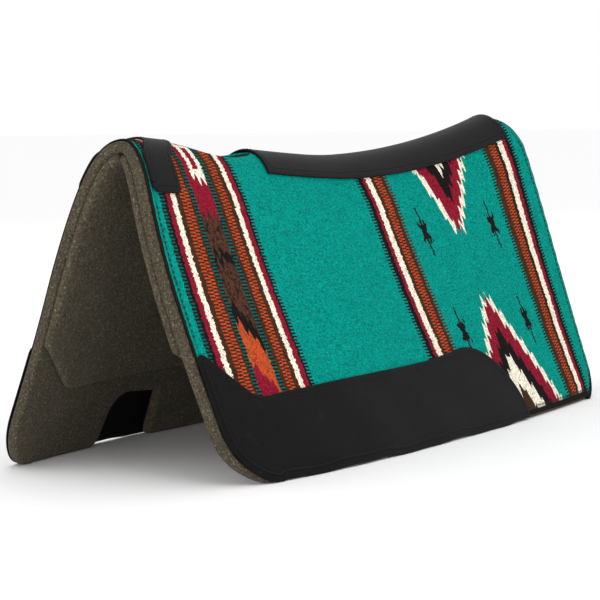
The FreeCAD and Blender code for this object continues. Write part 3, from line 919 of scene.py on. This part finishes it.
def makeLeatherMaterial(name, colour, worn, scuffs, inset, roughness):
    material, tree, principled = newMaterial(name, Specular_IOR_Level=0.05)
    rest = placeOf(tree, "restPlace")
    gap = put(tree, "ShaderNodeSeparateXYZ", None, i0=placeOf(tree, "skinPlace")).outputs[2]
    grain = use(tree, leatherGrain, Place=rest, Scale=1.0, Scuffs=scuffs)
    tone = grey(tree, grain["Tone"])
    base = blendColour(tree, 1.0, linear(*colour), tone, "MULTIPLY")
    base = blendColour(tree, grain["Scuff"], base, linear(*worn))
    seam = use(tree, seamGroove, Gap=gap, Inset=inset, Width=0.0016)
    # painted shade: the colour in the stitched groove is darkened to near black
    base = blendColour(tree, calc(tree, "MULTIPLY", seam["Line"], 0.55), base, linear(12, 12, 12))
    # painted shade: a dark band along the leather's rounded edge
    base = blendColour(tree, calc(tree, "MULTIPLY", seam["RimShade"], 0.5), base, linear(20, 19, 18))
    tree.links.new(base, principled.inputs["Base Color"])
    rough = calc(tree, "MULTIPLY_ADD", grain["Tone"], 0.12, roughness - 0.12)
    rough = calc(tree, "MULTIPLY_ADD", grain["Scuff"], 0.1, rough)
    tree.links.new(rough, principled.inputs["Roughness"])
    height = calc(tree, "SUBTRACT", grain["Height"], calc(tree, "MULTIPLY", seam["Line"], 1.6))
    bumpInto(tree, principled, height, 0.0005, 0.7)
    return material


def makeThreadMaterial(name, colour):
    material, tree, principled = newMaterial(name, Roughness=0.7, Specular_IOR_Level=0.3)
    place = placeOf(tree, "restPlace")
    twist = noise(tree, place, 1500.0, 2.0)
    tone = swing(tree, twist, 1.2, 1.0)
    tone = grey(tree, tone)
    tree.links.new(blendColour(tree, 1.0, linear(*colour), tone, "MULTIPLY"), principled.inputs["Base Color"])
    bumpInto(tree, principled, twist, 0.0002)
    return material


blanketWool = makeBlanketMaterial()
baseFeltWool = makeFeltMaterial("baseFelt", (66, 60, 48), (140, 130, 104), 1.0, 0.8)
linerFeltWool = makeFeltMaterial("linerFelt", (70, 64, 51), (138, 129, 105), 0.85, 0.7)
wearHide = makeLeatherMaterial("wearHide", (17, 17, 18), (44, 43, 42), 0.5, 0.006, 0.52)
strapHide = makeLeatherMaterial("strapHide", (24, 24, 25), (50, 49, 48), 0.35, 0.006, 0.55)
blackThread = makeThreadMaterial("blackThread", (20, 20, 21))
greyThread = makeThreadMaterial("greyThread", (74, 68, 60))
print("materials done")

# Felt layers.

feltBase = {"low": -0.012, "high": 0.0, "round": 0.0042}
feltLiner = {"low": -0.0218, "high": -0.0123, "round": 0.004, "edgeGap": 0.008}


def pressed(x, drop, lift, gap):
    # felt is thinner where its edge has been pressed and sewn
    return lift - 0.0004 * np.exp(-gap / 0.006)


padLoop = resampled(legOutline(0.0, False), 0.002)


def edgeShare(x, drop):
    # 1 at the pad's outer edge, fading over a few millimetres: how far the layers are sewn down there
    gap = gapTo(np.stack([x, np.abs(drop)], axis=1), [padLoop])
    return np.exp(-(gap / 0.007) ** 2)


basePiece = slab("feltBase", bothSides(legOutline(0.0, True)), [cutOutOutline(0.0)], feltBase, baseFeltWool,
                 shapeLift=pressed)
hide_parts("felt_base_left", "felt_base_right")

wearLeather = {
    "low": 0.0033,
    "high": 0.0059,
    "round": 0.0012,
    "edgeInset": 0.0035,
    "edgeThin": 0.0010,
    "frontDrop": 0.230,
    "kneeX": 0.336,
    "kneeDrop": 0.287,
    "rearX": -0.156,
    "rearDrop": 0.256,
    "kneeRadius": 0.034,
    "rearRadius": 0.088,
    "floorGap": 0.0015,
    "stitchInset": 0.006,
}


def wearTop(grow):
    # the leather's upper edge from the front edge to its rear side, in (x, drop)
    front = half - wearLeather["edgeInset"]
    low = float(floorDrop(front)[0])
    look = wearLeather
    rear = look["rearX"]

    def corner(x, drop, shift, rise, radius):
        return x + shift, float(acrossLeg(x, drop)) - rise, radius

    corners = [
        corner(front, low, grow, -0.1, 0),
        corner(front, look["frontDrop"], grow, grow, 0.006),
        corner(look["kneeX"], look["kneeDrop"], 0, grow, look["kneeRadius"] - grow),
        corner(rear, look["rearDrop"], -grow, grow, look["rearRadius"] + grow),
        corner(rear, float(floorDrop(rear)[0]), -grow, 0, 0),
    ]
    return onLeg(filleted(corners)[1:])


def linerOutline():
    # from just off the spine down to the row above the wear leather, then round behind it to the foot
    start = 0.0075
    leg = legOutline(0.0, False, start)
    cut = wearTop(feltLiner["edgeGap"])
    cut = cut[cut[:, 0] < frontEdge(cut[:, 1]) + 0.002]
    front = leg[(leg[:, 0] > 0) & (leg[:, 1] < cut[0, 1]) & (leg[:, 0] > half - 0.06)]
    rear = leg[(leg[:, 0] < wearLeather["rearX"] - feltLiner["edgeGap"] - 0.004)]
    spine = cutOutOutline(0.0)
    spine = spine[spine[:, 1] > start]
    spine = spine[np.argsort(spine[:, 0])]
    return np.vstack([front, cut, rear, spine])


def thinned(x, drop, lift, gap):
    # only the face towards the horse draws back along the edge
    return np.where(lift < -0.017, lift + 0.0012 * np.exp(-gap / 0.008), lift)


linerPath = softened(linerOutline(), 0.010)
for side, body in ((1, "left"), (-1, "right")):
    piece = slab("feltLiner_" + body, linerPath * np.array([1, side]), [], feltLiner, linerFeltWool,
                 shapeLift=thinned)
    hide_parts("felt_liner_" + body)
    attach(piece, body + "_half")

# Woven blanket.

wovenBlanket = {"low": 0.0003, "high": 0.003, "round": 0.0013, "inset": 0.004, "stitchInset": 0.0075,
                "edgePress": 0.0018}


def puckered(x, drop, lift, gap):
    # the row of stitches along the edge pulls the wool down, and the rim rolls over
    pull = 0.0011 * np.exp(-((gap - wovenBlanket["stitchInset"]) / 0.0022) ** 2)
    ripple = 0.00025 * np.sin(x * 420 + drop * 300) * np.exp(-gap / 0.02)
    press = wovenBlanket["edgePress"] * edgeShare(x, drop)
    return np.where(lift > 0.0016, lift - pull + ripple - press, lift)


blanketPiece = slab("wovenBlanket", bothSides(legOutline(wovenBlanket["inset"], True)),
                    [cutOutOutline(0.0015)], wovenBlanket, blanketWool, shapeLift=puckered,
                    extraRings=(0.0022, 0.0044, 0.0066, 0.009))
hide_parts("blanket_left", "blanket_right")

# Leathers.

def wearOutline():
    front = half - wearLeather["edgeInset"]
    radius = padShape["frontFootRadius"]
    top = wearTop(0.0)
    top = top[top[:, 0] <= front + 1e-6]
    rearLow = float(floorDrop(wearLeather["rearX"])[0]) - wearLeather["floorGap"]
    top = top[top[:, 1] < rearLow]
    start = int(np.argmax(top[:, 1] < float(floorDrop(front)[0]) - radius))
    x = np.linspace(wearLeather["rearX"], front - radius, 160)
    sag = 0.0009 * np.sin(x * 36 + 0.6) + 0.0006 * np.sin(x * 83)
    foot = np.stack([x, floorDrop(x) - wearLeather["floorGap"] - 0.0006 - sag], axis=1)
    low = float(floorDrop(front)[0]) - wearLeather["floorGap"]
    angle = np.linspace(math.pi / 2, 0, 40)
    corner = np.stack([front - radius + radius * np.cos(angle),
                       low - radius + radius * np.sin(angle)], axis=1)
    return np.vstack([top[start:], foot, corner])


wearPath = softened(wearOutline(), 0.005)


def creased(x, drop, lift, gap):
    # soft hollows in the hanging leather, and a slight roll at its edge
    hollow = 0.0005 * np.sin(x * 45 + drop * 20) * np.clip((np.abs(drop) - 0.27) / 0.05, 0, 1)
    roll = 0.0002 * np.exp(-((gap - 0.003) / 0.002) ** 2)
    thin = np.where(lift > 0.0045, wearLeather["edgeThin"], 0) + wovenBlanket["edgePress"]
    return lift + hollow * np.clip(gap / 0.02, 0, 1) + roll - thin * edgeShare(x, drop)


def wearSettle(x, drop):
    return (wearLeather["edgeThin"] + wovenBlanket["edgePress"]) * edgeShare(x, drop)


for side, body in ((1, "left"), (-1, "right")):
    piece = slab("wearLeather_" + body, wearPath * np.array([1, side]), [], wearLeather, wearHide,
                 shapeLift=creased)
    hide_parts("wear_leather_" + body)
    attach(piece, body + "_half")

spineLeather = {
    "low": 0.0037,
    "high": 0.0063,
    "round": 0.0012,
    "frontX": 0.165,
    "hollow": 0.009,
    "halfWidth": 0.041,
    "rearGap": 0.003,
    "cornerRadius": 0.006,
}
rearX = float(rearEdge(0.0)) + spineLeather["rearGap"]


def spineLeatherPath(inset):
    width = spineLeather["halfWidth"] - inset
    drop = np.linspace(-width, width, 60)
    hollow = spineLeather["hollow"] * np.cos(drop / spineLeather["halfWidth"] * math.pi / 2)
    front = np.stack([spineLeather["frontX"] - inset - hollow, drop], axis=1)
    radius = spineLeather["cornerRadius"]
    behind = spineLeather["frontX"] - 0.03
    rear = filleted([(behind, width, 0), (rearX + inset, width, radius), (rearX + inset, -width, radius),
                     (behind, -width, 0)])
    return np.vstack([front, rear])


spinePiece = slab("spineLeather", spineLeatherPath(0.0), [], spineLeather, strapHide, spacing=0.004)
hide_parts("spine_leather")

witherLeather = {
    "low": 0.0034,
    "high": 0.0058,
    "round": 0.0012,
    "width": 0.047,
    "inset": 0.007,
    "crestSetback": 0.022,
    "crestDrop": 0.035,
    "drop": 0.072,
    "cornerRadius": 0.009,
}


def witherPath(inset):
    low = witherLeather["drop"] - inset
    radius = witherLeather["cornerRadius"] - inset * 0.5

    def frontAt(drop, shift=inset):
        crest = max(0.0, 1 - (drop / witherLeather["crestDrop"]) ** 2) ** 2
        return float(frontEdge(drop)) - witherLeather["inset"] - witherLeather["crestSetback"] * crest - shift

    def rearAt(drop):
        return frontAt(drop, 0.0) - witherLeather["width"] + inset

    side = filleted([(frontAt(low - radius), low - radius, 0), (frontAt(low), low, radius),
                     (rearAt(low), low, radius),
                     (rearAt(low - radius), low - radius - 0.002, 0)])
    drops = np.linspace(0.0, low - radius, 20)[:-1]
    frontRun = np.array([(frontAt(d), d) for d in drops])
    rearRun = np.array([(rearAt(d), d) for d in drops[::-1]])
    leg = np.vstack([frontRun, side, rearRun])
    return bothSides(leg)


witherPiece = slab("witherLeather", witherPath(0.0), [], witherLeather, strapHide, spacing=0.004)
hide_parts("wither_leather")

# Stitching.

leatherStitch = {"pitch": 0.0033, "fill": 0.72, "radius": 0.00048}
woolStitch = {"pitch": 0.006, "fill": 0.6, "radius": 0.0006}


def insetPath(path, inset):
    loop = turned(resampled(path, 0.002, True), True)
    moved = loop + inwardNormals(loop) * inset
    return np.vstack([moved, moved[:1]])


wearRow = insetPath(wearPath, wearLeather["stitchInset"])
rearRow = legOutline(wovenBlanket["inset"] + wovenBlanket["stitchInset"], False)
frontRow = rearRow[(rearRow[:, 0] > 0.3) & (rearRow[:, 1] > 0.082) & (rearRow[:, 1] < 0.226)]
rearRow = rearRow[(rearRow[:, 0] < wearLeather["rearX"] - 0.008) & (rearRow[:, 1] > 0.046)]
linerRow = wearTop(feltLiner["edgeGap"] + 0.010)
linerRow = linerRow[(linerRow[:, 0] < half - 0.012) & (linerRow[:, 1] < 0.345)]
for side, body in ((1, "left"), (-1, "right")):
    flip = np.array([1, side])
    rows = [
        ("wearStitching_", [wearRow], wearLeather["high"], leatherStitch, blackThread, wearSettle,
         "leather_thread", "wear_leather_stitching_" + body),
        ("edgeStitching_", [frontRow, rearRow], wovenBlanket["high"] - 0.0006, woolStitch, blackThread, None,
         "blanket_thread", "perimeter_stitching_" + body),
        ("linerStitching_", [linerRow], feltLiner["low"] + 0.0002, woolStitch, greyThread, None,
         "felt_thread", "liner_stitching_" + body),
    ]
    for name, runs, level, look, thread, settle, slotName, node in rows:
        piece = stitchRow(name + body, [run * flip for run in runs], level, look, thread, settle)
        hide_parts(node)
        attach(piece, body + "_half")

spineStitches = stitchRow("spineStitching", [np.vstack([spineLeatherPath(0.005), spineLeatherPath(0.005)[:1]])],
                          spineLeather["high"], leatherStitch, blackThread)
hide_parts("spine_leather_stitching")
witherStitches = stitchRow("witherStitching", [np.vstack([witherPath(0.005), witherPath(0.005)[:1]])],
                           witherLeather["high"], leatherStitch, blackThread)
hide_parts("wither_leather_stitching")

seamThread = {"radius": 0.0006, "pitch": 0.014, "drop": 0.040}


def makeSpineSeam():
    start = float(rearEdge(0.0)) + 0.012
    points, faces, places = [], [], []
    around = np.arange(8) / 8 * 2 * math.pi
    total = 0
    x = start
    while x + seamThread["pitch"] / 2 < float(frontEdge(0.0)) - 0.010:
        ahead = x - witherCutOut["x"]
        if ahead < -witherCutOut["halfLength"] - 0.012 or ahead > witherCutOut["halfLength"] + 0.008:
            left = skin(x, seamThread["drop"], -0.0232)
            right = skin(x + seamThread["pitch"] / 2, -seamThread["drop"], -0.0232)
            along = (right - left) / np.linalg.norm(right - left)
            side = np.cross(along, [0, 0, 1.0])
            side = side / np.linalg.norm(side)
            up = np.cross(side, along)
            shares = np.linspace(0, 1, 13)
            for share in shares:
                sag = -0.0006 * math.sin(math.pi * share)
                swell = seamThread["radius"] * (0.5 if share in (0.0, 1.0) else 1.0)
                centre = left + (right - left) * share + np.array([0, 0, sag])
                around2d = np.cos(around)[:, None] * side + np.sin(around)[:, None] * up
                points.append(centre + swell * around2d)
                places.append(np.tile([x, seamThread["drop"] * (1 - 2 * share), 0.0], (8, 1)))
            faces += tubeFaces(total, len(shares), 8)
            total += 104
        x += seamThread["pitch"]
    return meshPiece("spineSeam", np.vstack(points), faces, np.vstack(places), greyThread)


seamPiece = makeSpineSeam()
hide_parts("spine_seam_thread")

# What crosses the spine stays unattached, with its transform baked into its mesh.
for piece in (basePiece, blanketPiece, spinePiece, witherPiece, spineStitches, witherStitches, seamPiece):
    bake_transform(piece)
print("pad built")

# Studio.

camera = {
    "place": (2.42535, 1.5284, 0.3863),
    "right": (-0.53797, 0.84261, -0.02432),
    "up": (-0.08360, -0.02462, 0.99620),
    "ahead": (-0.83881, -0.53796, -0.08369),
    "lens": 155.53,
    "shiftX": -0.0099,
    "shiftY": -0.0021,
}


def placeCamera():
    data = bpy.data.cameras.new("studioCamera")
    data.lens = camera["lens"]
    data.sensor_width = 36
    data.shift_x = camera["shiftX"]
    data.shift_y = camera["shiftY"]
    data.clip_start = 0.05
    data.clip_end = 50
    piece = bpy.data.objects.new("studioCamera", data)
    right, up, ahead = (Vector(camera[key]).normalized() for key in ("right", "up", "ahead"))
    turn = Matrix((right, up, -ahead)).transposed().to_4x4()
    piece.matrix_world = Matrix.Translation(camera["place"]) @ turn
    bpy.context.scene.collection.objects.link(piece)
    bpy.context.scene.camera = piece


def addFloor():
    mesh = bpy.data.meshes.new("studioFloor")
    size = 14.0
    corners = [(-size, -size, 0), (size, -size, 0), (size, size, 0), (-size, size, 0)]
    mesh.from_pydata(corners, [], [(0, 1, 2, 3)])
    material, tree, principled = newMaterial("studioPaper", Roughness=0.9, Specular_IOR_Level=0.1)
    principled.inputs["Base Color"].default_value = (0.97, 0.97, 0.97, 1)
    mesh.materials.append(material)
    floor = bpy.data.objects.new("studioFloor", mesh)
    bpy.context.scene.collection.objects.link(floor)
    floor.location.z = -0.0005


def addLamp(name, place, aim, size, power):
    data = bpy.data.lights.new(name, "AREA")
    data.shape = "RECTANGLE"
    data.size = size[0]
    data.size_y = size[1]
    data.energy = power
    lamp = bpy.data.objects.new(name, data)
    lamp.location = place
    lamp.rotation_euler = (Vector(aim) - Vector(place)).to_track_quat("-Z", "Y").to_euler()
    bpy.context.scene.collection.objects.link(lamp)


placeCamera()
addFloor()
addLamp("keyLamp", (1.6, 2.6, 2.4), (0, 0, 0.15), (1.6, 1.6), 18)
addLamp("frontLamp", (2.6, 0.9, 0.30), (0, -0.1, 0.12), (1.4, 0.5), 22)
addLamp("rearLamp", (-2.6, -1.6, 2.4), (0, 0, 0.15), (2.0, 2.0), 14)
world = bpy.data.worlds.new("studioWorld")
world.use_nodes = True
world.node_tree.nodes["Background"].inputs[0].default_value = (1, 1, 1, 1)
world.node_tree.nodes["Background"].inputs[1].default_value = 1.0
bpy.context.scene.world = world
bpy.context.scene.view_settings.view_transform = "Standard"
